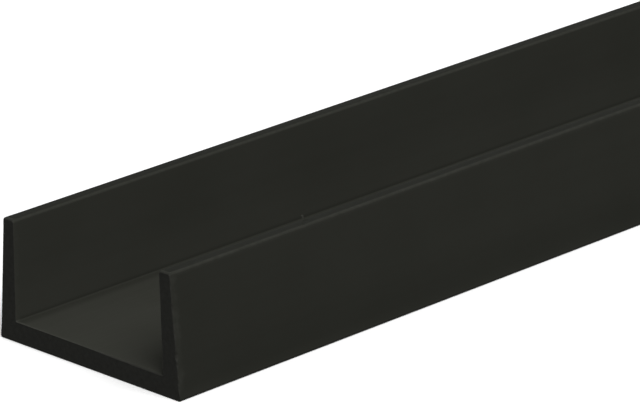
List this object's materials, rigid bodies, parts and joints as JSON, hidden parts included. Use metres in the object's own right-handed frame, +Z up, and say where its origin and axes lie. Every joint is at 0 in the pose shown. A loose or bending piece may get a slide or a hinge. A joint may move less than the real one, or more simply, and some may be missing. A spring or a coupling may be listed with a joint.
{
  "type": "pvc u-channel",
  "caption": "Straight stick of black rigid PVC U-channel, a flat web with a tapered flange along each side, sawn square at both ends.",
  "frame": {"origin": "middle of the underside of the web, halfway along the stick", "axes": "+X along the stick, +Y across the web from one flange to the other, +Z up out of the open side"},
  "size_m": [0.9144, 0.038, 0.0191],
  "materials": {
    "black_pvc": "satin black as extruded, faint lengthwise die lines, sawn ends matt"
  },
  "bodies": {
    "root": {"u_channel": "black_pvc"}
  },
  "joints": []
}
